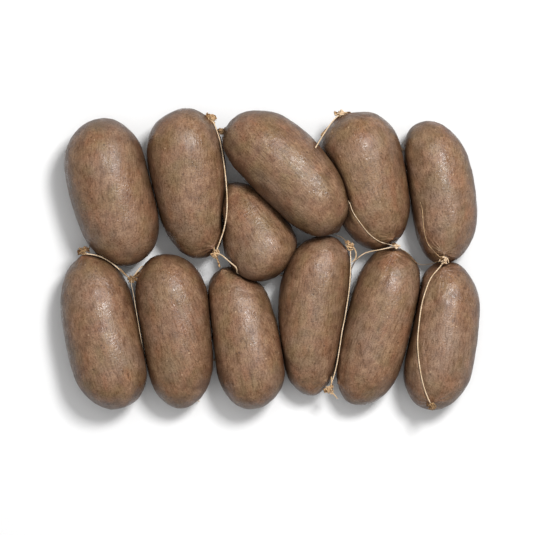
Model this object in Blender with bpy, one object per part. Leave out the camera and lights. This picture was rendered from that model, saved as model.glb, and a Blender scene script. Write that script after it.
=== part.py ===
"""A string of twelve sausages in natural casing, tied off with twine and laid in two rows.

Metres, +Z up, standing on z = 0. Along the string each sausage runs from a head knot to a
tail knot, and its casing gathers at both. The sausages are soft: each has a flat underside
where it lies, and a dent where a neighbour presses on it.
"""

import math

import bmesh
import bpy
import numpy as np
from mathutils import Vector

MM = 0.001
GAP = 0.3 * MM  # between pieces that touch
PRESSED_GAP = 1 * MM  # between the dents of two sausages, whose flat faces cut the curve short

# Sausages
FULLNESS = 3.1  # exponent of the outline: 2 is an ellipse, higher is a straighter side
SQUAT = 0.96  # height over width before the underside flattens
SAG = 2.7 * MM  # how far the underside gives way on what it lies on
SOFT_EDGE = 0.25 * MM  # rounding between the flat underside and the side
FLAT_BELOW = 0.02 * MM  # of the rounded underside, so that it ends in a true flat
AROUND, ALONG = 20, 12  # mesh divisions of one sausage
MOST_LEAN = 1.1  # of a sausage's end towards its knot: 1 is 45 degrees
NECK_WIDTH = 0.6  # of the ring of casing next to a knot
NECK_PULL = 0.5 * MM  # how far that ring is drawn towards the knot
LONGEST_NECK = 1.5 * MM

# Twine and its knots
TWINE = 0.9 * MM
KNOT = 4.2 * MM
TWINE_STEP = 8 * MM
SPAN_STEPS = 12  # fine steps between two points that a route passes through
TWINE_CLEAR = TWINE / 2 + GAP + 0.45 * MM
KNOT_CLEAR = KNOT / 2 + GAP

CASING_COLOUR = (0.235, 0.145, 0.092, 1)
TWINE_COLOUR = (0.78, 0.62, 0.42, 1)


class Sausage:
    """One link. The heading is that of its head end, in degrees from +X, and taper is how much
    wider the head end is than the middle. Bow bends the middle to the left of the heading. Lift
    raises the head and the tail end, and give is how readily it dents against a neighbour."""

    def __init__(self, at, heading, length, width, taper, bow, knots, lift=(0, 0), give=1.0):
        self.at = np.array(at) * MM
        self.half = length * MM / 2
        self.radius = width * MM / 2
        self.taper = taper
        self.bow = bow * MM
        self.knots = knots
        self.lift = np.array(lift) * MM
        self.give = give
        turn = math.radians(heading)
        self.ahead = np.array([math.cos(turn), math.sin(turn)])
        self.left = np.array([-math.sin(turn), math.cos(turn)])

    def section(self, u):
        """Half width, sideways bow and height of the axis at u, which runs from -1 to 1."""
        radius = self.radius * (1 + self.taper * u)
        bow = self.bow * (0.5 - u * u)
        mean, slope = self.lift.sum() / 2, (self.lift[0] - self.lift[1]) / 2
        return radius, bow, SQUAT * radius - SAG + mean + slope * u

    def unit(self, points):
        """The points in a frame where the plain sausage is a unit sphere."""
        flat = points[:, :2] - self.at
        u = flat @ self.ahead / self.half
        radius, bow, height = self.section(np.clip(u, -1, 1))
        side = (flat @ self.left - bow) / radius
        up = (points[:, 2] - height) / (SQUAT * radius)
        return np.stack([np.sign(u) * np.abs(u) ** (FULLNESS / 2), side, up], axis=1)

    def world(self, sphere):
        """The inverse of unit."""
        u = np.sign(sphere[:, 0]) * np.abs(sphere[:, 0]) ** (2 / FULLNESS)
        radius, bow, height = self.section(np.clip(u, -1, 1))
        flat = self.at + np.outer(u * self.half, self.ahead)
        flat += np.outer(radius * sphere[:, 1] + bow, self.left)
        return np.column_stack([flat, height + SQUAT * radius * sphere[:, 2]])

    def depth(self, points):
        """How far the points lie outside the plain sausage, below zero inside, and which way is out."""
        step = 0.05 * MM

        def field(at):
            return (self.unit(at) ** 2).sum(axis=1) - 1

        slopes = [
            (field(points + shift) - field(points - shift)) / (2 * step)
            for shift in np.eye(3) * step
        ]
        gradient = np.stack(slopes, axis=1)
        size = np.maximum(np.linalg.norm(gradient, axis=1), 1e-6)
        return field(points) / size, gradient / size[:, None]

    def core(self, points):
        """The point of the axis that each point is pressed towards."""
        u = np.clip((points[:, :2] - self.at) @ self.ahead / self.half, -0.65, 0.65)
        _, bow, height = self.section(u)
        flat = self.at + np.outer(u * self.half, self.ahead) + np.outer(bow, self.left)
        return np.column_stack([flat, height])


# The knots, in order along the string (mm).
KNOTS = {
    "knot_01": (39, 79, 22),
    "knot_02": (69, 7, 28),
    "knot_03": (33, -71, 22),
    "knot_04": (44, 7, 25),
    "knot_05": (-26, 71, 22),
    "knot_06": (-32, 78, 22),
    "knot_07": (-30, 3, 24),
    "knot_08": (-12, -77, 4.5),
    "knot_09": (-42, -76, 4.5),
    "knot_10": (-76, -10, 22),
    "knot_11": (-80, -77, 4.5),
    "knot_12": (-104, 4, 22),
    "knot_13": (-93, 72, 4.5),
    "knot_14": (-22, 38, 4.5),
    "knot_15": (1, -6, 4.5),
    "knot_16": (87, 72, 4.5),
    "knot_17": (95, -1, 28),
    "knot_18": (88, -79, 28),
}

# The sausages, in order along the string (mm and degrees). The fourth lies over its neighbours.
SAUSAGES = {
    "link_01": Sausage((53.7, 43.1), 103.3, 77.2, 43.5, 0.11, -0.6, ("knot_01", "knot_02")),
    "link_02": Sausage((59.5, -37.5), 74.5, 90, 38.5, 0.06, -1.4, ("knot_02", "knot_03")),
    "link_03": Sausage((24.5, -31), 83.5, 89, 37, 0.13, 3.7, ("knot_04", "knot_03")),
    "link_04": Sausage(
        (9.5, 47.5), 135, 84, 42, 0.02, -3.6, ("knot_05", "knot_04"), lift=(9.5, 13), give=0.5
    ),
    "link_05": Sausage((-44, 41.3), 98.5, 83, 41.5, 0.15, 0.8, ("knot_06", "knot_07")),
    "link_06": Sausage((-14.5, -43), 102.5, 80, 38.5, -0.10, -2, ("knot_07", "knot_08")),
    "link_07": Sausage((-52.5, -39.5), 97, 85.5, 40.5, 0.07, -2, ("knot_10", "knot_09")),
    "link_08": Sausage((-92, -40), 102.5, 86.5, 42, -0.07, 1, ("knot_12", "knot_11")),
    "link_09": Sausage((-86.5, 36.5), 105, 82.5, 45.5, 0.04, 1.4, ("knot_13", "knot_12")),
    "link_10": Sausage(
        (-10.5, 16), 117, 58, 37, -0.25, -2.5, ("knot_14", "knot_15"), lift=(4, 0), give=1.5
    ),
    "link_11": Sausage((93, 37), 99, 79.5, 36.5, 0.01, -4, ("knot_16", "knot_17")),
    "link_12": Sausage((94.2, -42.2), 82.5, 82.5, 39, -0.03, -2.2, ("knot_17", "knot_18")),
}

# The lengths of twine: the points between their ends (mm), and the knot at each end. One that
# comes out from between two sausages has no knot at that end.
TWINES = {
    "twine_01": (
        None,
        [(43, 33, 28), (45, 26, 31), (49.5, 19.3, 31), (54, 13.8, 31), (59.5, 9.8, 31),
         (65.5, 7.8, 31)],
        "knot_02",
    ),
    "twine_02": (
        "knot_02",
        [(64.5, 6, 28), (59.4, 4.9, 28), (55.5, 4.2, 27), (52, 3.2, 26), (49.2, 1.4, 25),
         (47.2, -0.6, 22), (45.4, -4.5, 12), (43.5, -12, 6), (41, -30, 4), (36, -60, 5)],
        "knot_03",
    ),
    "twine_03": (
        "knot_04",
        [(44.2, -3, 28), (44, -9, 29), (43.5, -16, 30), (42.4, -24, 30), (41, -32.5, 30),
         (39.5, -40, 29), (38, -50, 27), (36.2, -60, 27)],
        "knot_03",
    ),
    "twine_04": (
        "knot_04",
        [(42, 9, 26), (39.5, 11.8, 25), (36, 13, 20), (32, 15, 12), (14, 27, 5), (-10, 45, 3),
         (-24, 60, 6)],
        "knot_05",
    ),
    "twine_05": (
        "knot_06",
        [(-29.8, 72, 29), (-27.2, 63.8, 29), (-25.6, 54.5, 30), (-24.2, 43.5, 30),
         (-23.5, 32.5, 30), (-23.8, 24, 30), (-25.3, 16, 29), (-27.5, 9.5, 28)],
        "knot_07",
    ),
    "twine_06": (
        "knot_07",
        [(-27, 2.4, 27), (-24.2, 0, 28), (-20.9, -3, 28), (-17, -5.5, 27), (-11, -9, 22), (-5, -14, 14),
         (-1, -22, 6), (4, -40, 3), (-2, -68, 3)],
        "knot_08",
    ),
    "twine_07": (
        "knot_10",
        [(-70, -4, 16), (-68, -14, 4), (-72, -30, 3), (-69, -48, 3), (-60, -70, 3)],
        "knot_09",
    ),
    "twine_08": (
        "knot_10",
        [(-75.8, -14, 29), (-74.6, -20, 29), (-73, -30, 29), (-69, -50, 29), (-67, -68, 26),
         (-70, -77, 10)],
        "knot_11",
    ),
    "twine_09": ("knot_12", [(-100, 8, 8), (-106, 30, 4), (-108, 54, 4)], "knot_13"),
    "twine_10": ("knot_14", [(-27, 24, 3), (-24, 6, 3), (-12, -7, 3)], "knot_15"),
    "twine_11": (
        None,
        [(82, 31, 31), (83.3, 27, 31), (84, 18.5, 33), (85.7, 9, 33), (89.7, 4.2, 32),
         (93.2, 1.2, 30)],
        "knot_17",
    ),
    "twine_12": (
        "knot_17",
        [(93, -4.3, 32), (88.2, -10, 32), (85.2, -17, 32), (82.7, -26, 32), (81, -39, 32),
         (80.6, -47, 32), (81.4, -57, 32), (83.1, -66.5, 31), (85.4, -74, 30)],
        "knot_18",
    ),
    "twine_tail": ("knot_01", [(36.3, 77.6, 28), (32.6, 73.2, 31), (28.1, 66.1, 36), (24.5, 60, 41)], None),
    "twine_strand": (
        "knot_02",
        [(71.6, 5.6, 26), (76, 2.6, 24), (79.4, -1.2, 22), (83, -3.2, 21), (87.9, -2.8, 23),
         (91, -1.6, 26)],
        "knot_17",
    ),
    "twine_cross": (
        "knot_10",
        [(-81.4, -7, 32), (-84.2, -4.4, 32), (-88, -1.4, 32), (-91.9, 0.8, 32), (-96.3, 2.2, 30),
         (-101, 2.9, 28)],
        "knot_12",
    ),
    "join_06_07": ("knot_08", [(-24, -64, 2), (-31, -56, 2), (-38, -64, 2)], "knot_09"),
    "join_09_10": (
        "knot_13",
        [(-80, 62, 2), (-69, 46, 2), (-62, 52, 2), (-58, 64, 2), (-50, 73, 2), (-38, 71, 2),
         (-29, 58, 2)],
        "knot_14",
    ),
    "join_10_11": (
        "knot_15",
        [(8, -9.5, 2), (14.5, -7.5, 2), (20.5, -1.5, 2), (26.5, 7, 2), (31, 14, 2), (33, 26, 2),
         (34, 45, 2), (37, 62, 2), (50, 72, 2), (68, 68, 2), (76, 60, 2)],
        "knot_16",
    ),
}


def clear_scene():
    for thing in list(bpy.data.objects):
        bpy.data.objects.remove(thing)


def material(name, colour, roughness):
    made = bpy.data.materials.new(name)
    made.use_nodes = True
    shader = made.node_tree.nodes["Principled BSDF"]
    shader.inputs["Base Color"].default_value = colour
    shader.inputs["Roughness"].default_value = roughness
    shader.inputs["Metallic"].default_value = 0
    return made


def add_object(name, data, finish, collection):
    data.materials.append(finish)
    made = bpy.data.objects.new(name, data)
    collection.objects.link(made)
    return made


def smooth_floor(heights):
    """Heights pressed flat on z = 0, with a soft edge where they leave it."""
    return np.maximum(SOFT_EDGE * np.logaddexp(0, heights / SOFT_EDGE) - FLAT_BELOW, 0)


def pushed_clear(points, clearance, steps=60):
    """The points moved out of every sausage, and off the floor, by the clearance."""
    points = points.copy()
    for _ in range(steps):
        for sausage in SAUSAGES.values():
            depth, out = sausage.depth(points)
            points += out * np.maximum(clearance - depth, 0)[:, None]
        points[:, 2] = np.maximum(points[:, 2], clearance)
    return points


def placed_knots():
    """Each knot's centre, moved clear of the sausages."""
    rough = np.array(list(KNOTS.values())) * MM
    return dict(zip(KNOTS, pushed_clear(rough, KNOT_CLEAR)))


def lean_to(sausage, knot):
    """How far a sphere is sheared sideways and up to carry its pole to a knot's direction."""
    direction = sausage.unit(knot[None])[0]
    lean = direction[1:] / max(abs(direction[0]), 0.2)
    return lean * min(1, MOST_LEAN / np.linalg.norm(lean))


def plain_form(sausage, sphere, knots):
    """The sphere's points on the undented sausage, its poles at the two knots."""
    head, tail = (lean_to(sausage, knots[name]) for name in sausage.knots)
    ahead = sphere[:, :1]
    sheared = sphere.copy()
    sheared[:, 1:] += np.where(ahead > 0, ahead * head, -ahead * tail)
    return sausage.world(sheared / np.linalg.norm(sheared, axis=1, keepdims=True))


def drawn_necks(points, sphere, sausage, knots):
    """The end of the sausage drawn out to each knot."""
    points = points.copy()
    first_ring = math.cos(1.5 * math.pi / ALONG)
    for name, end in zip(sausage.knots, (1, -1)):
        tip = int(np.argmax(end * sphere[:, 0]))
        ring = (end * sphere[:, 0] > first_ring) & (np.arange(len(points)) != tip)
        way = knots[name] - points[tip]
        reach = np.linalg.norm(way)
        way /= reach
        pull = min(NECK_PULL, max(reach - KNOT_CLEAR, 0))
        points[ring] = points[tip] + (points[ring] - points[tip]) * NECK_WIDTH + way * pull
        points[tip] += way * np.clip(reach - KNOT_CLEAR, 0, LONGEST_NECK)
    return points


def dented(points, sausage):
    """The points pressed in wherever another sausage needs the room, each giving its share."""
    core = sausage.core(points)
    others = [other for other in SAUSAGES.values() if other is not sausage]

    def fits(share):
        at = core + (points - core) * share[:, None]
        own, _ = sausage.depth(at)
        good = np.ones(len(at), bool)
        for other in others:
            theirs, _ = other.depth(at)
            both = sausage.give + other.give
            room = (theirs * sausage.give - own * other.give) / both
            good &= room > PRESSED_GAP / 2
        return good

    low, high = np.full(len(points), 0.3), np.ones(len(points))
    low = np.where(fits(high), 1.0, low)
    for _ in range(24):
        middle = (low + high) / 2
        good = fits(middle)
        low, high = np.where(good, middle, low), np.where(good, high, middle)
    return core + (points - core) * low[:, None]


def add_sausage(name, sausage, knots, finish, collection):
    ball = bmesh.new()
    bmesh.ops.create_uvsphere(ball, u_segments=AROUND, v_segments=ALONG, radius=1)
    corners = np.array([corner.co for corner in ball.verts])
    sphere = corners[:, [2, 0, 1]]
    points = plain_form(sausage, sphere, knots)
    points = drawn_necks(dented(points, sausage), sphere, sausage, knots)
    points[:, 2] = smooth_floor(points[:, 2])
    for corner, point in zip(ball.verts, points):
        corner.co = point
    data = bpy.data.meshes.new(name)
    ball.to_mesh(data)
    ball.free()
    return add_object(name, data, finish, collection)


def add_knot(name, at, finish, collection):
    ball = bmesh.new()
    bmesh.ops.create_icosphere(ball, subdivisions=2, radius=KNOT / 2)
    data = bpy.data.meshes.new(name)
    ball.to_mesh(data)
    ball.free()
    made = add_object(name, data, finish, collection)
    made.location = at
    return made


def smooth_curve(points, step):
    """Points about a step apart on a Catmull-Rom curve through the given ones."""
    ends = [2 * points[0] - points[1], *points, 2 * points[-1] - points[-2]]
    fine = []
    for before, start, stop, after in zip(ends, ends[1:], ends[2:], ends[3:]):
        bend = 2 * start - 2 * stop + (stop - before) / 2 + (after - start) / 2
        lean = 3 * (stop - start) - (stop - before) - (after - start) / 2
        for t in np.arange(SPAN_STEPS) / SPAN_STEPS:
            fine.append(start + t * (stop - before) / 2 + t * t * lean + t**3 * bend)
    fine = np.array([*fine, points[-1]])
    gone = np.append(0, np.linalg.norm(np.diff(fine, axis=0), axis=1).cumsum())
    places = np.linspace(0, gone[-1], max(2, round(gone[-1] / step)) + 1)
    return np.column_stack([np.interp(places, gone, fine[:, i]) for i in (0, 1, 2)])


def twine_route(start, between, stop, knots):
    """The twine's centre line, from one knot's side to the other's."""
    ends = [[knots[name]] if name else [] for name in (start, stop)]
    points = [*ends[0], *(np.array(point) * MM for point in between), *ends[1]]
    route = smooth_curve(points, TWINE_STEP)
    route = pushed_clear(route, TWINE_CLEAR)
    for end, inner, name in ((0, 1, start), (-1, -2, stop)):
        if name:
            way = route[inner] - knots[name]
            route[end] = knots[name] + way / np.linalg.norm(way) * (KNOT / 2 + GAP)
    return route


def add_twine(name, route, finish, collection):
    data = bpy.data.curves.new(name, "CURVE")
    data.dimensions = "3D"
    data.bevel_depth = TWINE / 2
    data.bevel_resolution = 2
    data.use_fill_caps = True
    spline = data.splines.new("POLY")
    spline.points.add(len(route) - 1)
    for point, at in zip(spline.points, route):
        point.co = (*at, 1)
    return add_object(name, data, finish, collection)


def main():
    clear_scene()
    collection = bpy.data.collections.new("sausage_string")
    bpy.context.scene.collection.children.link(collection)
    casing = material("natural_casing", CASING_COLOUR, 0.4)
    twine = material("cotton_twine", TWINE_COLOUR, 0.9)
    knots = placed_knots()
    for name, sausage in SAUSAGES.items():
        add_sausage(name, sausage, knots, casing, collection)
    for name, at in knots.items():
        add_knot(name, Vector(at), twine, collection)
    for name, (start, between, stop) in TWINES.items():
        add_twine(name, twine_route(start, between, stop, knots), twine, collection)


main()
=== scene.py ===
import math

import bmesh
import bpy
import numpy as np
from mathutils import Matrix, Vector
from mathutils.bvhtree import BVHTree
from mathutils.kdtree import KDTree


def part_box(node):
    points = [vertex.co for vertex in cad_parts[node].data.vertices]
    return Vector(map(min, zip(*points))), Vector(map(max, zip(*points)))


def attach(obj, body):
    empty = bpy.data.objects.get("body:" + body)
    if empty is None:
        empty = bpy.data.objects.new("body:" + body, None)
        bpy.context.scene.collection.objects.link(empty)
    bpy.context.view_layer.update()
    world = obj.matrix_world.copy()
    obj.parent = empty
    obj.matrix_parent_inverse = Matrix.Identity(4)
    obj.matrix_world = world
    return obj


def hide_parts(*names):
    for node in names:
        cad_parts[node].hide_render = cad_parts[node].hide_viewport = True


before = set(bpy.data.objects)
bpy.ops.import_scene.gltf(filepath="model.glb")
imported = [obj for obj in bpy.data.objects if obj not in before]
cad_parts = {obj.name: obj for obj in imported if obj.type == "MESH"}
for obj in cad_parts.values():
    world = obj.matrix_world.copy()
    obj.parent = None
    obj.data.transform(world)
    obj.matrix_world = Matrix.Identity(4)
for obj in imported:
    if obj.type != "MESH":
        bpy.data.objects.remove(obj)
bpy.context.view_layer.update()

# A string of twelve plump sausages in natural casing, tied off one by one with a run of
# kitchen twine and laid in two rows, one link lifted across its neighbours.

MM = 0.001

# ---------------------------------------------------------------- the string, link by link
# Each link with the knots that close its two ends.
LINKS = {
    "link_01": ("knot_01", "knot_02"),
    "link_02": ("knot_02", "knot_03"),
    "link_03": ("knot_04", "knot_03"),
    "link_04": ("knot_05", "knot_04"),
    "link_05": ("knot_06", "knot_07"),
    "link_06": ("knot_07", "knot_08"),
    "link_07": ("knot_10", "knot_09"),
    "link_08": ("knot_12", "knot_11"),
    "link_09": ("knot_13", "knot_12"),
    "link_10": ("knot_14", "knot_15"),
    "link_11": ("knot_16", "knot_17"),
    "link_12": ("knot_17", "knot_18"),
}

# The runs of twine: knot they start at, points passed in millimetres, knot they end at, how they
# lie, and how thick they are against the main twine. A taut run is drawn straight over whatever
# it passes, a loose one follows the links under it, and a low one runs unseen near the floor.
TWINES = {
    "twine_01": (None, [(43, 33, 28), (45, 26, 31), (49.5, 19.3, 31), (54, 13.8, 31), (59.5, 9.8, 31),
                        (65.5, 7.8, 31)], "knot_02", "loose", 0.55),
    "twine_02": ("knot_02", [(64.5, 6.0, 28), (59.4, 4.9, 28), (55.5, 4.2, 27), (52.0, 3.2, 26),
                             (49.2, 1.4, 25), (47.2, -0.6, 22), (45.4, -4.5, 12), (43.5, -12, 6),
                             (41, -30, 4), (36, -60, 5)], "knot_03", "low", 0.85),
    "twine_03": ("knot_04", [(44.2, -3, 28), (44, -9, 29), (43.5, -16, 30), (42.4, -24, 30), (41, -32.5, 30),
                             (39.5, -40, 29), (38, -50, 27), (36.2, -60, 27)], "knot_03", "taut", 0.82),
    "twine_04": ("knot_04", [(42, 9, 26), (39.5, 11.8, 25), (36, 13, 20), (32, 15, 12), (14, 27, 5),
                             (-10, 45, 3), (-24, 60, 6)], "knot_05", "low", 0.45),
    "twine_05": ("knot_06", [(-29.8, 72, 29), (-27.2, 63.8, 29), (-25.6, 54.5, 30), (-24.2, 43.5, 30),
                             (-23.5, 32.5, 30), (-23.8, 24, 30), (-25.3, 16, 29), (-27.5, 9.5, 28)],
                 "knot_07", "taut", 0.95),
    "twine_06": ("knot_07", [(-27, 2.4, 27), (-24.2, 0.2, 28), (-20.9, -2.6, 28), (-17.6, -5.2, 27),
                             (-15.6, -6.6, 20), (-14, -6.5, 10), (-11, -9, 5), (-5, -16, 4),
                             (-1, -24, 4), (4, -40, 3), (-2, -68, 3)], "knot_08", "low", 1),
    "twine_07": ("knot_10", [(-70, -4, 16), (-68, -14, 4), (-72, -30, 3), (-69, -48, 3), (-60, -70, 3)],
                 "knot_09", "low", 1),
    "twine_08": ("knot_10", [(-75.8, -14, 29), (-74.6, -20, 29), (-73, -30, 28), (-71.7, -38, 26),
                             (-70.6, -45, 23), (-69.8, -52, 16), (-70.5, -60, 9), (-73, -69, 5),
                             (-76.5, -75, 4)], "knot_11", "crease", 0.4),
    "twine_09": ("knot_12", [(-100, 8, 8), (-106, 30, 4), (-108, 54, 4)], "knot_13", "low", 1),
    "twine_10": ("knot_14", [(-27, 24, 3), (-24, 6, 3), (-12, -7, 3)], "knot_15", "low", 1),
    "twine_11": (None, [(82, 31, 31), (83.3, 27, 31), (84, 18.5, 33), (85.7, 9, 33), (89.7, 4.2, 32),
                        (93.2, 1.2, 30)], "knot_17", "loose", 0.42),
    "twine_12": ("knot_17", [(93, -4.3, 32), (88.2, -10, 32), (85.2, -17, 32), (82.7, -26, 32), (81, -39, 32),
                             (80.6, -47, 32), (81.4, -57, 32), (83.1, -66.5, 31), (85.4, -74, 30)],
                 "knot_18", "taut", 0.88),
    "twine_tail": ("knot_01", [(36.3, 77.6, 28), (32.6, 73.2, 31), (28.1, 66.1, 36), (24.5, 60, 41)], None,
                   "taut", 1),
    "twine_strand": ("knot_02", [(71.6, 5.6, 26), (76.0, 2.6, 24), (79.4, -1.2, 22), (83, -3.2, 21),
                                 (87.9, -2.8, 23), (91, -1.6, 26)], "knot_17", "low", 0.36),
    "twine_cross": ("knot_10", [(-81.4, -7, 32), (-84.2, -4.4, 32), (-88, -1.4, 32), (-91.9, 0.8, 32),
                                (-96.3, 2.2, 30), (-101, 2.9, 28)], "knot_12", "taut", 1),
    "join_06_07": ("knot_08", [(-24, -64, 2), (-31, -56, 2), (-38, -64, 2)], "knot_09", "low", 1),
    "join_09_10": ("knot_13", [(-80, 62, 2), (-69, 46, 2), (-62, 52, 2), (-58, 64, 2), (-50, 73, 2),
                               (-38, 71, 2), (-29, 58, 2)], "knot_14", "low", 1),
    "join_10_11": ("knot_15", [(8, -9.5, 2), (14.5, -7.5, 2), (20.5, -1.5, 2), (26.5, 7, 2), (31, 14, 2),
                               (33, 26, 2), (34, 45, 2), (37, 62, 2), (50, 72, 2), (68, 68, 2),
                               (76, 60, 2)], "knot_16", "low", 1),
}
KNOTS = sorted(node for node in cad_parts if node.startswith("knot_"))

DULL = ("twine_strand", "twine_04")  # runs soaked brown
# Where the windings sit against the middle of the CAD knot: pulled hard on to the link's shoulder.
TUCKED = {
    "knot_01": (1.1, -1.2, 0.2), "knot_03": (-0.3, -0.8, 0), "knot_05": (-0.3, -1.6, -0.4),
    "knot_06": (-1.1, -1.2, 0.3), "knot_10": (-0.2, -1.3, 0.3), "knot_12": (1.0, 0.3, 0),
    "knot_18": (0.7, -0.6, 0),
}
# Stubs of dried casing that stick out of a knot, in mm: start, way, thickness, flatness.
STUBS = {
    "knot_06": [((-0.6, 0.2, 0.6), (-2.4, 1.0, 0.5), 0.9, 0.7), ((0.4, 0.0, 0.6), (2.2, 1.0, 0.3), 0.8, 0.7),
                ((0.2, -0.8, 0.4), (1.2, -2.4, 0.4), 0.7, 0.7)],
    "knot_05": [((0.2, 0.2, 0.3), (2.2, 0.2, -0.4), 0.9, 0.8),
                ((0.0, -0.3, 0.3), (-1.4, 1.6, 0.6), 0.8, 0.8)],
    "knot_01": [((0.8, 0.3, 0.3), (4.4, 0.7, 0.2), 0.8, 0.6),
                ((-0.5, 0.3, 0.3), (-3.2, -0.8, -0.2), 0.75, 0.6)],
    "knot_12": [((-0.4, 0.0, 0.3), (-2.4, -0.4, 0.2), 1.0, 0.9), ((0.5, 0.4, 0.4), (1.0, 2.0, 0.4), 0.9, 0.8),
                ((1.0, 0.2, 0.2), (2.6, 0.8, -0.4), 0.8, 0.8)],
    "knot_10": [((0.6, 0.4, 0.3), (4.4, 4.4, 0.2), 0.7, 0.6), ((0.8, 0.0, 0.2), (4.2, 0.5, 0.2), 0.85, 0.7)],
    "knot_07": [((-0.4, -0.6, 0.2), (-1.6, -0.7, -0.4), 0.6, 0.8),
                ((0.8, -1.8, -0.2), (1.4, -5.4, -1.2), 0.38, 0.8)],
    "knot_04": [((-0.4, 0.8, 0.2), (-1.2, 2.2, 0.4), 0.8, 0.7)],
    "knot_03": [((-0.8, -0.4, 0.0), (-2.2, -0.8, 0.0), 0.8, 0.8)],
    "knot_17": [((0.0, 0.6, 0.2), (-0.6, 2.0, 0.4), 0.8, 0.8)],
    "knot_18": [((-0.8, 0.2, 0.2), (-2.2, 0.7, 0.3), 0.7, 0.8)],
}
# Dried skin, gathered but not cut off, that runs from a knot down the shoulder of its link.
VEILS = {"knot_01": [((-2.2, -1.4, -0.6), (-7.6, -10.6, -3.0), 0.85, 0.55)]}
# Loose strands of twine that belong to a knot, in mm from its middle.
EXTRA_STRANDS = {
    "knot_04": [[(1.0, 0.2, 1.2), (2.0, -1.2, 1.6), (3.0, -3.4, 1.6), (3.0, -5.8, 1.4), (2.4, -7.4, 1.4),
                 (0.8, -8.8, 1.6)]],
    "knot_03": [[(0.9, 7.4, 1.0), (1.0, 4.2, 1.6), (0.8, 2.2, 1.6), (0.2, 0.4, 1.2)],
                [(1.0, -0.8, 1.0), (2.4, -2.6, 0.6), (4.4, -5.0, 0.2)]],
    "knot_10": [[(-6.4, 6.2, 1.4), (-4.6, 4.4, 1.8), (-2.4, 2.0, 1.6), (-0.4, 0.4, 1.0)]],
    "knot_17": [[(-2.8, -0.6, 1.2), (-1.6, 1.3, 1.9), (0.3, 2.0, 2.0), (2.0, 1.0, 1.9), (2.7, -1.2, 1.2)]],
    "knot_18": [[(-2.2, 0.4, 1.3), (-0.8, 1.3, 1.9), (1.0, 1.2, 1.8), (2.1, -0.2, 1.3), (0.9, -1.2, 1.0)]],
    "knot_02": [[(-2.4, 0.0, 1.2), (-0.6, 0.4, 1.8), (1.2, 0.2, 1.7), (2.4, -0.4, 1.0)]],
    "knot_01": [[(-3.6, -1.0, 0.8), (-1.6, 0.2, 1.6), (1.0, 0.5, 1.6), (3.2, 0.7, 1.2)],
                [(-3.0, -1.9, 0.8), (-0.8, -0.8, 1.7), (1.6, -0.3, 1.5), (3.6, -0.1, 0.8)]],
    "knot_06": [[(-2.6, 1.0, 0.8), (-0.8, 1.1, 1.6), (1.0, 0.2, 1.6), (2.0, -1.6, 1.2)]],
}
# Height in mm of the long gathers that run from a knot, where it isn't the usual one.
DRAWN = {"knot_17": 0.3, "knot_07": 0.22, "knot_02": 0.22, "knot_05": 0.05, "knot_12": 0.06}
USUAL_DRAWN = 0.12
# Size of a knot's windings against the usual.
SIZES = {
    "knot_01": 0.85, "knot_02": 0.55, "knot_05": 0.72, "knot_07": 1.08, "knot_10": 0.8, "knot_14": 0.6,
    "knot_17": 0.9, "knot_18": 0.85,
}
SOAKED = ("knot_05", "knot_10", "knot_12", "knot_18")  # browner twine and casing than the rest
FRESH = ("knot_17", "knot_01", "knot_02")  # the palest twine

YARN = 0.40 * MM  # half the thickness of the twine
YARN_SUNK = 0.16 * MM  # how far the twine beds into the casing
LAY = 3.4 * MM  # length in which the strands of the twine turn once
STUB_CORNERS, STUB_STEPS = 30, 9  # round and along a stub of casing


def smooth_step(low, high, value):
    share = np.clip((value - low) / (high - low), 0, 1)
    return share * share * (3 - 2 * share)


def wavy(points, size, seed, stretch=(1, 1, 1), waves=30):
    """A smooth random field of about unit height, with hills about size across."""
    draw = np.random.default_rng(seed)
    ways = draw.normal(size=(waves, 3))
    ways /= np.linalg.norm(ways, axis=1)[:, None]
    ways *= (2 * math.pi / size * draw.uniform(0.55, 1.45, waves))[:, None]
    phase = draw.uniform(0, 2 * math.pi, waves)
    return np.cos(points * np.array(stretch) @ ways.T + phase).sum(1) * math.sqrt(2 / waves)


def middle(node):
    low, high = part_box(node)
    return np.array((low + high) / 2) + np.array(TUCKED.get(node, (0, 0, 0))) * MM


def points_of(mesh):
    found = np.empty(len(mesh.vertices) * 3, np.float32)
    mesh.vertices.foreach_get("co", found)
    return found.reshape(-1, 3).astype(float)


def normals_of(mesh):
    found = np.empty(len(mesh.vertices) * 3, np.float32)
    mesh.vertex_normals.foreach_get("vector", found)
    return found.reshape(-1, 3).astype(float)


def add_piece(name, mesh, material, slot, *nodes):
    """Puts a finished mesh in the scene, riding on the one body, in place of the CAD nodes named."""
    mesh.name = name
    mesh.materials.clear()
    mesh.materials.append(material)
    mesh.polygons.foreach_set("use_smooth", [True] * len(mesh.polygons))
    piece = bpy.data.objects.new(name, mesh)
    bpy.context.scene.collection.objects.link(piece)
    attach(piece, "root")
    if nodes:
        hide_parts(*nodes)
    return piece


def as_mesh(data, modifiers=()):
    """The mesh that Blender makes of a curve or of a mesh with modifiers."""
    helper = bpy.data.objects.new("helper", data)
    bpy.context.scene.collection.objects.link(helper)
    for kind, settings in modifiers:
        modifier = helper.modifiers.new(kind, kind)
        for setting, value in settings.items():
            setattr(modifier, setting, value)
    graph = bpy.context.evaluated_depsgraph_get()
    mesh = bpy.data.meshes.new_from_object(helper.evaluated_get(graph))
    bpy.data.objects.remove(helper)
    return mesh


# ---------------------------------------------------------------- materials
def colour(code):
    """An sRGB hex code as linear colour."""
    parts = [int(code[i:i + 2], 16) / 255 for i in (1, 3, 5)]
    return tuple(p / 12.92 if p <= 0.04045 else ((p + 0.055) / 1.055) ** 2.4 for p in parts) + (1,)


def every(millimetres):
    """The scale of a pattern that repeats about once in that many millimetres."""
    return 1 / (millimetres * MM)


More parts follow.
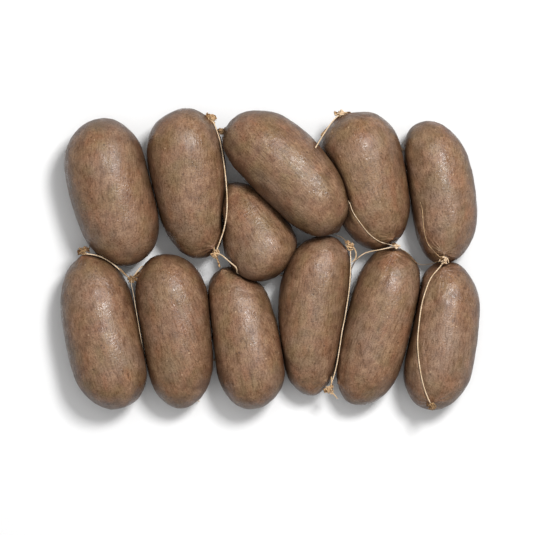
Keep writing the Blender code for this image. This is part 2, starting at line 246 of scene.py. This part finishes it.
def add_node(tree, kind, inputs=None, stops=None, **settings):
    """Adds a node with its settings; each input takes a number, a colour or another node's output."""
    made = tree.nodes.new("ShaderNode" + kind)
    for name, value in settings.items():
        setattr(made, name, value)
    for key, value in (inputs or {}).items():
        if isinstance(value, bpy.types.NodeSocket):
            tree.links.new(value, made.inputs[key])
        else:
            made.inputs[key].default_value = value
    if stops:
        ramp = made.color_ramp
        while len(ramp.elements) < len(stops):
            ramp.elements.new(0.5)
        for element, (place, shade) in zip(ramp.elements, stops):
            element.position, element.color = place, shade
    return made


def grey(level):
    return (level, level, level, 1)


def new_material(name):
    material = bpy.data.materials.new(name)
    material.use_nodes = True
    material.node_tree.nodes.clear()
    return material, material.node_tree


def sausage_casing():
    """Natural beef casing over coarse, dark, cooked liver filling: a thin moist skin, brown with
    the filling's mottling showing through, fine lengthwise fibres and a broken soft gloss."""
    material, tree = new_material("natural_casing_stuffed")
    grain = add_node(tree, "Attribute", attribute_name="grain").outputs["Vector"]
    gather = add_node(tree, "Attribute", attribute_name="gather").outputs["Fac"]
    painted_flank_shade = add_node(tree, "Attribute", attribute_name="painted_flank_shade").outputs["Fac"]
    along = add_node(tree, "Mapping", {"Vector": grain, "Scale": (1, 1, 0.2)}).outputs[0]
    across = add_node(tree, "Mapping", {"Vector": grain, "Scale": (0.25, 0.25, 1)}).outputs[0]

    def noise(vector, size, detail=2.0, rough=0.55, twist=0.0):
        return add_node(tree, "TexNoise", {"Vector": vector, "Scale": every(size), "Detail": detail,
                                           "Roughness": rough, "Distortion": twist}).outputs[0]

    def mixed(factor, first, second, blend="MIX"):
        return add_node(tree, "Mix", {0: factor, 6: first, 7: second}, data_type="RGBA",
                        blend_type=blend).outputs[2]

    def ramp(value, *stops):
        return add_node(tree, "ValToRGB", {0: value}, stops=stops).outputs[0]

    def times(first, second):
        return add_node(tree, "Math", {0: first, 1: second}, operation="MULTIPLY").outputs[0]

    def plus(first, second):
        return add_node(tree, "Math", {0: first, 1: second}, operation="ADD").outputs[0]

    # Filling seen through the skin: cloudy browns, then drab, rusty and greyer areas over them.
    filling = ramp(noise(grain, 5, 5, 0.66, 0.3), (0.30, colour("#795944")), (0.50, colour("#8f6f57")),
                   (0.70, colour("#a28267")))
    drabs = ramp(noise(grain, 13, 2, 0.5, 0.5), (0.42, grey(0)), (0.66, grey(0.6)))
    filling = mixed(drabs, filling, colour("#85704f"))
    greys = ramp(noise(grain, 21, 2, 0.5), (0.48, grey(0)), (0.70, grey(0.55)))
    filling = mixed(greys, filling, colour("#907a69"))
    rust = times(ramp(noise(along, 5, 2, 0.4), (0.40, grey(0)), (0.70, grey(1))),
                 ramp(noise(grain, 11, 2, 0.5), (0.42, grey(0)), (0.66, grey(0.55))))
    filling = mixed(rust, filling, colour("#95664a"))
    # The skin's own fine grain and its lengthwise fibres, about half a millimetre apart.
    fibres = ramp(noise(along, 0.9, 2, 0.6), (0.32, (0.60, 0.53, 0.46, 1)), (0.50, (0.93, 0.915, 0.90, 1)),
                  (0.68, grey(1)))
    filling = mixed(1.0, filling, fibres, "MULTIPLY")
    crumbs = ramp(noise(grain, 0.55, 3, 0.8), (0.32, (0.26, 0.20, 0.15, 1)), (0.48, (0.84, 0.81, 0.78, 1)),
                  (0.64, grey(1)))
    filling = mixed(1.0, filling, crumbs, "MULTIPLY")
    # Spice and gristle under the skin, up to 1 mm across, in a few places only.
    spice = add_node(tree, "TexVoronoi", {"Vector": grain, "Scale": every(4.6)})
    dark = times(ramp(spice.outputs["Distance"], (0.07, grey(0.7)), (0.17, grey(0))),
                 ramp(spice.outputs["Color"], (0.56, grey(0)), (0.66, grey(1))))
    filling = mixed(dark, filling, colour("#3c261a"))
    gristle = add_node(tree, "TexVoronoi", {"Vector": grain, "Scale": every(5.4), "Randomness": 0.9})
    pale = times(ramp(gristle.outputs["Distance"], (0.04, grey(0.8)), (0.11, grey(0))),
                 ramp(gristle.outputs["Color"], (0.60, grey(0)), (0.68, grey(1))))
    filling = mixed(pale, filling, colour("#b5977a"))
    # Dry, bunched skin by the knots is more ochre. The flanks and lower parts of each link are darkened:
    # painted shade where the light falls off them.
    filling = mixed(ramp(gather, (0.2, grey(0)), (1.0, grey(0.8))), filling, colour("#85593a"))
    filling = mixed(ramp(painted_flank_shade, (0.0, grey(0)), (1.0, grey(0.95))), filling, colour("#9c8f83"), "MULTIPLY")

    wet = ramp(plus(noise(grain, 2.0, 3, 0.6), noise(grain, 9, 2, 0.5)),
               (0.80, grey(0.23)), (1.20, grey(0.43)))
    skin = plus(plus(noise(grain, 1.1, 3, 0.6), times(noise(along, 1.0, 2, 0.6), 0.6)),
                times(noise(across, 1.0, 2, 0.6), 0.45))
    bump = add_node(tree, "Bump", {"Height": skin, "Strength": 0.9, "Distance": 0.25 * MM}).outputs[0]
    shader = add_node(tree, "BsdfPrincipled", {
        "Base Color": filling, "Roughness": wet, "IOR": 1.42, "Normal": bump,
    })
    add_node(tree, "OutputMaterial", {"Surface": shader.outputs[0]})
    return material


def dried_casing(name, dark, light):
    """The same casing past the knots, with no filling in it: dried, crumpled, horny and ochre."""
    material, tree = new_material(name)
    place = add_node(tree, "TexCoord").outputs["Object"]
    folds = add_node(tree, "TexNoise", {"Vector": place, "Scale": every(1.0), "Detail": 4.0}).outputs[0]
    # Painted shade: the darkest brown sits in the hollows of the same folds the bump draws and the palest on
    # their ridges, over the dried skin's own uneven tone.
    tone = add_node(tree, "ValToRGB", {0: folds}, stops=[
        (0.34, colour("#352011")), (0.46, colour(dark)), (0.68, colour(light))]).outputs[0]
    bump = add_node(tree, "Bump", {"Height": folds, "Strength": 0.7, "Distance": 0.3 * MM}).outputs[0]
    shader = add_node(tree, "BsdfPrincipled", {
        "Base Color": tone, "Roughness": 0.5, "IOR": 1.45, "Normal": bump})
    add_node(tree, "OutputMaterial", {"Surface": shader.outputs[0]})
    return material


def kitchen_twine(name, light, deep):
    """Loosely laid cotton and linen twine: matt, fuzzy, cream where dry and ochre where soaked."""
    material, tree = new_material(name)
    place = add_node(tree, "TexCoord").outputs["Object"]
    fuzz = add_node(tree, "TexNoise", {"Vector": place, "Scale": every(0.7), "Detail": 3.0}).outputs[0]
    soak = add_node(tree, "TexNoise", {"Vector": place, "Scale": every(6), "Detail": 2.0}).outputs[0]
    # Painted shade: the darker tone sits in the hollows of the same fuzz the bump draws and the paler on its
    # crests; the larger darker patches from the soak noise are soaking.
    fibre = add_node(tree, "ValToRGB", {0: fuzz},
                     stops=[(0.3, colour(deep)), (0.62, colour(light))]).outputs[0]
    stain = add_node(tree, "ValToRGB", {0: soak}, stops=[(0.42, grey(0)), (0.7, grey(0.6))]).outputs[0]
    fibre = add_node(tree, "Mix", {0: stain, 6: fibre, 7: colour(deep)}, data_type="RGBA").outputs[2]
    bump = add_node(tree, "Bump", {"Height": fuzz, "Strength": 0.5, "Distance": 0.1 * MM}).outputs[0]
    shader = add_node(tree, "BsdfPrincipled", {
        "Base Color": fibre, "Roughness": 0.82, "Normal": bump, "Sheen Weight": 0.15,
    })
    add_node(tree, "OutputMaterial", {"Surface": shader.outputs[0]})
    return material


def studio_paper():
    """Matt white background paper."""
    material, tree = new_material("white_background_paper")
    shader = add_node(tree, "BsdfPrincipled", {"Base Color": colour("#e0e0e0"), "Roughness": 0.9})
    add_node(tree, "OutputMaterial", {"Surface": shader.outputs[0]})
    return material


# ---------------------------------------------------------------- links
def link_frame(points):
    """Middle of a link and its side, up and length directions."""
    centre = points.mean(0)
    length = np.linalg.svd(points - centre, full_matrices=False)[2][0]
    length *= 1 if length[1] > 0 else -1
    side = np.cross(length, (0, 0, 1))
    side /= np.linalg.norm(side)
    return centre, np.array([side, np.cross(side, length), length])


def smooth_link(node):
    """The CAD link's skin, rounded, and still passing through the corners of the CAD mesh."""
    bm = bmesh.new()
    bm.from_mesh(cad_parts[node].data)
    bmesh.ops.remove_doubles(bm, verts=bm.verts, dist=0.001 * MM)
    bmesh.ops.join_triangles(bm, faces=bm.faces, angle_face_threshold=0.9, angle_shape_threshold=3.14)
    mesh = bpy.data.meshes.new(node)
    bm.to_mesh(mesh)
    bm.free()
    mesh.materials.clear()
    goal = points_of(mesh)
    cage = goal.copy()
    for _ in range(4):
        rounded_once = as_mesh(mesh, [("SUBSURF", {"levels": 1, "render_levels": 1})])
        cage += 0.9 * (goal - points_of(rounded_once)[:len(goal)])
        mesh.vertices.foreach_set("co", cage.astype(np.float32).ravel())
        mesh.update()
    return as_mesh(mesh, [("SUBSURF", {"levels": 3, "render_levels": 3})])


def tree_of(mesh, points=None):
    faces = np.empty(len(mesh.loops), np.int32)
    mesh.loops.foreach_get("vertex_index", faces)
    starts = np.empty(len(mesh.polygons), np.int32)
    mesh.polygons.foreach_get("loop_start", starts)
    ends = np.append(starts[1:], len(faces))
    lists = [faces[a:b].tolist() for a, b in zip(starts, ends)]
    return BVHTree.FromPolygons([tuple(p) for p in (points_of(mesh) if points is None else points)], lists)


def pleats(points, node, centre, seed):
    """Height of the gathers that run out from the knots at the ends of a link."""
    height = np.zeros(len(points))
    for number, knot in enumerate(LINKS[node]):
        draw = np.random.default_rng(seed * 7 + number)
        tied = middle(knot)
        inward = centre - tied
        inward /= np.linalg.norm(inward)
        across = np.cross(inward, (0.3, 0.1, 1))
        across /= np.linalg.norm(across)
        away = points - tied
        reach = np.linalg.norm(away, axis=1)
        turn = np.arctan2(away @ np.cross(inward, across), away @ across)
        folds = int(draw.integers(13, 18))
        swing = 0.7 * np.sin(2 * turn + draw.uniform(0, 6)) + 0.5 * np.sin(5 * turn + draw.uniform(0, 6))
        ridge = np.cos(folds * turn + swing + 25 * reach)
        long_ones = 0.6 + 0.4 * np.sin(3 * turn + draw.uniform(0, 6))
        height += ridge * (0.34 * np.exp(-reach / (3.6 * MM))
                           + DRAWN.get(knot, USUAL_DRAWN) * long_ones * np.exp(-reach / (9 * MM)))
    return height * MM


def eased_height(points, low, high):
    """Height of each point between the bottom and the top of its link, from -1 to 0."""
    return (points[:, 2] - high.z) / (high.z - low.z)


def build_links():
    """Every link as a dense skin with lumps and gathers, ready for the twine to press a bed into it."""
    made = {}
    for node in sorted(LINKS):
        mesh = smooth_link(node)
        made[node] = (mesh, points_of(mesh), normals_of(mesh))
    trees = {node: tree_of(mesh) for node, (mesh, _, _) in made.items()}
    for number, node in enumerate(sorted(LINKS)):
        mesh, points, normals = made[node]
        centre, axes = link_frame(points)
        grain = (points - centre) @ axes.T
        low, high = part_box(node)
        boxes = {other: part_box(other) for other in LINKS if other != node}
        near = [other for other, (least, most) in boxes.items() if all(
            least[i] < high[i] + 2 * MM and most[i] > low[i] - 2 * MM for i in (0, 1, 2))]
        room = np.full(len(points), 9 * MM)
        for other in near:
            tree = trees[other]
            for index, point in enumerate(points):
                hit = tree.find_nearest(point, 6 * MM)
                if hit[0] is not None:
                    room[index] = min(room[index], hit[3])
        free = smooth_step(0.6 * MM, 4 * MM, room) * smooth_step(0.0, 4 * MM, points[:, 2] - 0.2 * MM)
        tied = [np.linalg.norm(points - middle(knot), axis=1) for knot in LINKS[node]]
        gather = np.exp(-np.minimum(*tied) / (4.5 * MM))
        lumps = (0.10 * wavy(grain, 19 * MM, number * 11 + 1, (1, 1, 0.7))
                 + 0.06 * wavy(grain, 7 * MM, number * 11 + 2, (1, 1, 0.8))
                 + 0.028 * wavy(grain, 3 * MM, number * 11 + 3)) * MM
        points = points + normals * (free * (lumps + pleats(points, node, centre, number + 1)))[:, None]
        points[:, 2] = np.maximum(points[:, 2], 0)
        # Painted shade: the skin is darker where it faces sideways or down and lower on the link, with a
        # little random spread.
        level = (normals[:, 2] + 0.25 * eased_height(points, low, high))
        painted_flank_shade = 1 - smooth_step(-0.05, 0.95, level)
        painted_flank_shade = np.clip(painted_flank_shade + 0.12 * wavy(grain, 8 * MM, number * 11 + 6), 0, 1)
        made[node] = (mesh, points, grain + np.array([0.11, 0.07, 0.23]) * (number + 1), gather, painted_flank_shade)
    return made


def bed_twine(made, runs):
    """Presses a shallow groove into the links along the twine that lies on them."""
    lying = [point for run in runs.values() for point in run]
    tree = KDTree(len(lying))
    for index, point in enumerate(lying):
        tree.insert(point, index)
    tree.balance()
    for node, (mesh, points, *_) in made.items():
        mesh.vertices.foreach_set("co", points.astype(np.float32).ravel())
        mesh.update()
        normals = normals_of(mesh)
        near = np.array([tree.find(point)[2] for point in points])
        groove = -0.42 * MM * np.exp(-(near / (1.15 * MM)) ** 2)
        groove += 0.13 * MM * np.exp(-((near - 2.6 * MM) / (1.1 * MM)) ** 2)
        points = points + normals * groove[:, None]
        points[:, 2] = np.maximum(points[:, 2], 0)
        mesh.vertices.foreach_set("co", points.astype(np.float32).ravel())
        mesh.update()


# ---------------------------------------------------------------- twine
def rounded(points, step=0.5 * MM):
    """A smooth line through the points (Catmull-Rom), with a point every step."""
    points = [np.array(p, float) for p in points]
    points = [2 * points[0] - points[1], *points, 2 * points[-1] - points[-2]]
    line = []
    for a, b, c, d in zip(points, points[1:], points[2:], points[3:]):
        for t in np.linspace(0, 1, 24, endpoint=False):
            line.append(0.5 * (2 * b + (c - a) * t + (2 * a - 5 * b + 4 * c - d) * t * t
                               + (3 * b - 3 * c + d - a) * t ** 3))
    line.append(points[-2])
    line = np.array(line)
    gone = np.append(0, np.linalg.norm(np.diff(line, axis=0), axis=1).cumsum())
    count = max(int(gone[-1] / step), 3) + 1
    places = np.linspace(0, gone[-1], count)
    return np.stack([np.interp(places, gone, line[:, i]) for i in (0, 1, 2)], 1)


def eased(values, reach):
    """Values along a line, each averaged with its neighbours."""
    kernel = np.hanning(2 * reach + 3)[1:-1]
    padded = np.pad(values, ((reach, reach), (0, 0)), mode="edge")
    return np.stack([np.convolve(column, kernel / kernel.sum(), "valid") for column in padded.T], 1)


def ground_under(line, trees, height):
    """Height of the middle of a twine that rests on whatever is below each point of a line."""
    ground = np.full(len(line), -1.0)
    for index, (x, y, _) in enumerate(line):
        for tree in trees:
            place, normal, _, _ = tree.ray_cast((x, y, 0.1), (0, 0, -1))
            if place is not None:
                ground[index] = max(ground[index], place.z + height / max(normal.z, 0.35))
    return ground


def drawn_tight(along, ground, first, last):
    """The tight line over the ground from one end to the other: its upper hull."""
    hull = []
    for point in [(along[0], first), *zip(along[1:-1], ground[1:-1]), (along[-1], last)]:
        while len(hull) > 1 and ((hull[-1][0] - hull[-2][0]) * (point[1] - hull[-2][1])
                                 >= (point[0] - hull[-2][0]) * (hull[-1][1] - hull[-2][1])):
            hull.pop()
        hull.append(point)
    return np.interp(along, *zip(*hull))


def laid_on(line, trees, lying, thickness):
    """Lets a twine down onto the links it crosses, and keeps it out of all of them."""
    height = YARN * thickness - YARN_SUNK * thickness
    spread = np.minimum(np.arange(len(line)), np.arange(len(line))[::-1]) * 0.5 * MM
    ends = smooth_step(0, 3 * MM, spread)
    if lying != "low":
        along = np.append(0, np.linalg.norm(np.diff(line[:, :2], axis=0), axis=1).cumsum())
        ground = ground_under(line, trees, height)
        if lying == "taut":
            last = line[-1, 2] if ground[-1] < line[-1, 2] else ground[-1]
            line[:, 2] = drawn_tight(along, ground, line[0, 2], last)
        else:
            low = np.where(ground < line[:, 2] - 8 * MM, line[:, 2], ground)
            if lying == "crease":
                low = np.minimum(low, line[:, 2])
            low = eased(low[:, None], 5)[:, 0]
            line[:, 2] += (low - line[:, 2]) * ends
    for turn in range(4):
        push = np.zeros_like(line)
        for index, point in enumerate(line):
            for tree in trees:
                place, normal, _, _ = tree.find_nearest(point, 4 * MM)
                if place is None:
                    continue
                off = Vector(point) - place
                gap = off.length if off.dot(normal) > 0 else -off.length
                if gap < height:
                    push[index] += np.array(normal) * (height - gap)
        line = line + (eased(push, 3) if turn < 3 else push * 0.7) * ends[:, None]
    line[:, 2] = np.maximum(line[:, 2], YARN * thickness + 0.1 * MM)
    return eased(line, 3)


def strand_profile():
    """Cross-section of the twine: three strands laid together."""
    data = bpy.data.curves.new("laid_strands", "CURVE")
    data.dimensions = "2D"
    line = data.splines.new("POLY")
    line.points.add(14)
    for index, point in enumerate(line.points):
        turn = 2 * math.pi * index / 15
        reach = YARN * (0.86 + 0.14 * math.cos(3 * turn))
        point.co = (reach * math.cos(turn), reach * math.sin(turn), 0, 1)
    line.use_cyclic_u = True
    profile = bpy.data.objects.new("laid_strands", data)
    bpy.context.scene.collection.objects.link(profile)
    return profile


def laid_twine(lines, profile, thickness=1.0, ends=1.0):
    """Twine swept along each line, its strands turning as it goes."""
    data = bpy.data.curves.new("lay", "CURVE")
    data.dimensions = "3D"
    data.bevel_mode = "OBJECT"
    data.bevel_object = profile
    data.use_fill_caps = True
    for line in lines:
        spline = data.splines.new("POLY")
        spline.points.add(len(line) - 1)
        gone = np.append(0, np.linalg.norm(np.diff(line, axis=0), axis=1).cumsum())
        for index, point in enumerate(spline.points):
            point.co = (*line[index], 1)
            point.tilt = 2 * math.pi * gone[index] / LAY
            uneven = 1 + 0.06 * math.sin(gone[index] / (2.3 * MM)) + 0.04 * math.sin(gone[index] / (0.9 * MM))
            edge = min(gone[index], gone[-1] - gone[index]) / (1.0 * MM)
            point.radius = thickness * uneven * (ends + (1 - ends) * min(edge, 1))
    return as_mesh(data)


def turned(axis):
    """Two directions square to an axis, and the axis."""
    axis = np.array(axis, float)
    axis /= np.linalg.norm(axis)
    first = np.cross(axis, (0.2, 0.1, 1) if abs(axis[2]) < 0.9 else (1, 0, 0))
    first /= np.linalg.norm(first)
    return first, np.cross(axis, first), axis


def wound_knot(centre, axis, seed, size=1.0):
    """The lines of a tied knot: turns round the neck, a tangle pulled tight on them, short ends."""
    draw = np.random.default_rng(seed)
    first, second, along = turned(axis)
    lines = []
    t = np.linspace(0, 1, 80)
    turns = 2.6
    ring = size * MM * (1.45 + 0.25 * np.sin(5 * t + draw.uniform(0, 6)))
    angle = 2 * math.pi * turns * t + draw.uniform(0, 6)
    lift = size * MM * 1.0 * (t - 0.5) * turns / 1.5 + 0.25 * MM * np.sin(2 * angle)
    lines.append(centre + np.outer(ring * np.cos(angle), first) + np.outer(ring * np.sin(angle), second)
                 + np.outer(lift, along))
    for turn in range(2):
        t = np.linspace(0, 2 * math.pi * draw.uniform(0.72, 0.95), 80)
        tilt = turned(draw.normal(size=3) + 1.2 * np.array((0, 0, 1)))
        phase = draw.uniform(0, 2 * math.pi, 3)
        reach = size * MM * draw.uniform(0.8, 1.15, 3) * (2.0, 1.7, 1.0)
        lines.append(centre + np.array((0, 0, 0.7 * MM))
                     + np.outer(reach[0] * np.sin((2, 1)[turn] * t + phase[0]), tilt[0])
                     + np.outer(reach[1] * np.sin((3, 2)[turn] * t + phase[1]), tilt[1])
                     + np.outer(reach[2] * np.sin((5, 3)[turn] * t + phase[2]), tilt[2]))
    for _ in range(3):
        way = draw.normal(size=3) * (1, 1, 0.4)
        way /= np.linalg.norm(way)
        bend = np.cross(way, draw.normal(size=3)) * 0.4
        length = size * draw.uniform(2.2, 3.6) * MM
        t = np.linspace(0.2, 1, 10)
        lines.append(centre + np.outer(t * length, way) + np.outer(t * t * length, bend)
                     + np.outer(t * t, (0, 0, -0.6 * MM)))
    return lines


def gathered(bm, start, way, width, seed, flare=1.6, flatness=1.0):
    """A crumpled stub of casing: a ring drawn out along its way, its folds deepening as it flares."""
    draw = np.random.default_rng(seed)
    first, second, along = turned(way)
    length = np.linalg.norm(way)
    bend = np.cross(along, draw.normal(size=3)) * 0.25 * min(length, 4 * MM)
    made = bmesh.ops.create_circle(bm, cap_ends=True, segments=STUB_CORNERS, radius=width)
    ring = made["verts"]
    face = ring[0].link_faces[0]
    turns = {vert: 2 * math.pi * index / STUB_CORNERS for index, vert in enumerate(ring)}
    phase = draw.uniform(0, 2 * math.pi, 4)
    for step in range(STUB_STEPS + 1):
        share = step / STUB_STEPS
        if step:
            grown = bmesh.ops.extrude_face_region(bm, geom=[face])["geom"]
            fresh = [part for part in grown if isinstance(part, bmesh.types.BMVert)]
            face = next(part for part in grown if isinstance(part, bmesh.types.BMFace))
            old = {tuple(round(c, 9) for c in vert.co): turn for vert, turn in turns.items()}
            turns = {vert: old[tuple(round(c, 9) for c in vert.co)] for vert in fresh}
        middle_now = start + along * length * share + bend * share * share
        swell = 0.75 + (flare - 0.75) * share ** 1.5 if share < 1 else flare * 0.6
        for vert, turn in turns.items():
            fold = (0.30 * math.sin(5 * turn + phase[0] + 2 * share) + 0.18 * math.sin(8 * turn + phase[1])
                    + 0.15 * math.sin(3 * turn + phase[2] - 3 * share)) * (0.35 + 0.65 * share)
            reach = width * swell * (1 + fold)
            drop = 0.12 * length * math.sin(4 * turn + phase[3]) * share
            out = first * math.cos(turn) + second * flatness * math.sin(turn)
            vert.co = Vector(middle_now + reach * out + along * drop)


# ---------------------------------------------------------------- camera, floor and light
def set_up_studio():
    bm = bmesh.new()
    bmesh.ops.create_grid(bm, x_segments=1, y_segments=1, size=3.0)
    mesh = bpy.data.meshes.new("floor")
    bm.to_mesh(mesh)
    bm.free()
    mesh.materials.append(studio_paper())
    floor = bpy.data.objects.new("floor", mesh)
    bpy.context.scene.collection.objects.link(floor)

    reach = 1.5
    seen = 294.25 * MM  # width of the view at the links' middle height
    data = bpy.data.cameras.new("camera")
    data.sensor_width = 36
    data.lens = 36 * reach / seen
    camera = bpy.data.objects.new("camera", data)
    camera.location = (-1.4 * MM, -4.7 * MM, reach + 20 * MM)
    bpy.context.scene.collection.objects.link(camera)
    bpy.context.scene.camera = camera

    for name, place, size, power in (
        ("key_softbox", (0.48, 0.57, 1.35), 0.36, 23.0),
        ("overhead_softbox", (0, 0, 1.9), 2.8, 30.5),
    ):
        lamp = bpy.data.lights.new(name, "AREA")
        lamp.shape = "SQUARE"
        lamp.size = size
        lamp.energy = power
        light = bpy.data.objects.new(name, lamp)
        light.location = place
        light.rotation_euler = (-Vector(place)).to_track_quat("-Z", "Y").to_euler()
        bpy.context.scene.collection.objects.link(light)
    world = bpy.data.worlds.new("studio")
    world.use_nodes = True
    world.node_tree.nodes["Background"].inputs[0].default_value = (1, 1, 1, 1)
    world.node_tree.nodes["Background"].inputs[1].default_value = 0.16
    bpy.context.scene.world = world
    bpy.context.scene.view_settings.view_transform = "Standard"


# ---------------------------------------------------------------- making
set_up_studio()
casing = sausage_casing()
cream = kitchen_twine("cotton_twine_laid", "#e6cfb3", "#b8986f")
ochre = kitchen_twine("cotton_twine_soaked", "#dcbc91", "#946c42")
brown = kitchen_twine("cotton_twine_browned", "#ab895e", "#634524")
horn = dried_casing("natural_casing_dried", "#805a33", "#c8a87b")
bark = dried_casing("natural_casing_browned_gap_shade", "#503418", "#83623a")
profile = strand_profile()

links = build_links()
trees = [tree_of(mesh, points) for mesh, points, *_ in links.values()]

runs = {}
for name, (start, points, end, lying, thickness) in TWINES.items():
    way = [np.array(p, float) * MM for p in points]
    if start:
        way.insert(0, middle(start))
    if end:
        way.append(middle(end))
    runs[name] = laid_on(rounded(way), trees, lying, thickness)
bed_twine(links, runs)

for node, (mesh, _, grain, gather, painted_flank_shade) in links.items():
    holder = mesh.attributes.new("grain", "FLOAT_VECTOR", "POINT")
    holder.data.foreach_set("vector", grain.astype(np.float32).ravel())
    for name, values in (("gather", gather), ("painted_flank_shade", painted_flank_shade)):
        holder = mesh.attributes.new(name, "FLOAT", "POINT")
        holder.data.foreach_set("value", values.astype(np.float32))
    add_piece("sausage_" + node[-2:], mesh, casing, "casing", node)

for name, line in runs.items():
    add_piece("run_" + name, laid_twine([line], profile, TWINES[name][4]),
              brown if name in DULL else ochre if name == "twine_11" else cream, "twine", name)

for number, knot in enumerate(KNOTS):
    owners = [middle(node) for node, knots in LINKS.items() if knot in knots]
    centre = middle(knot)
    axis = centre - owners[0] if len(owners) == 1 else owners[0] - owners[1]
    lines = wound_knot(centre, axis, 100 + number, SIZES.get(knot, 1.0))
    lines += [rounded(centre + np.array(strand) * MM, 0.3 * MM) for strand in EXTRA_STRANDS.get(knot, [])]
    add_piece("tied_" + knot, laid_twine(lines, profile, 0.84, 0.5),
              brown if knot in SOAKED else cream if knot in FRESH else ochre, "twine", knot)
    axis = axis / np.linalg.norm(axis)
    # The neck under the windings is made in the browned casing so the gaps between the turns look dark:
    # painted shade between them.
    for kind, seed, made, material in (
        ("neck", 300, {}, bark), ("veil", 300, VEILS, horn), ("stub", 400, STUBS, horn),
    ):
        bm = bmesh.new()
        if kind == "neck":
            gathered(bm, centre - axis * 1.9 * MM, axis * 3.6 * MM, 0.95 * MM, seed + number, 1.1)
        for place, (start, way, width, flatness) in enumerate(made.get(knot, [])):
            gathered(bm, centre + np.array(start) * MM, np.array(way, float) * MM, width * MM,
                     seed + number * 5 + place, 1.6, flatness)
        if bm.verts:
            mesh = bpy.data.meshes.new(kind)
            bm.to_mesh(mesh)
            add_piece(kind + "_" + knot, as_mesh(mesh, [("SUBSURF", {"levels": 1, "render_levels": 1})]),
                      bark if knot in SOAKED else material, "casing")
        bm.free()
bpy.data.objects.remove(profile)
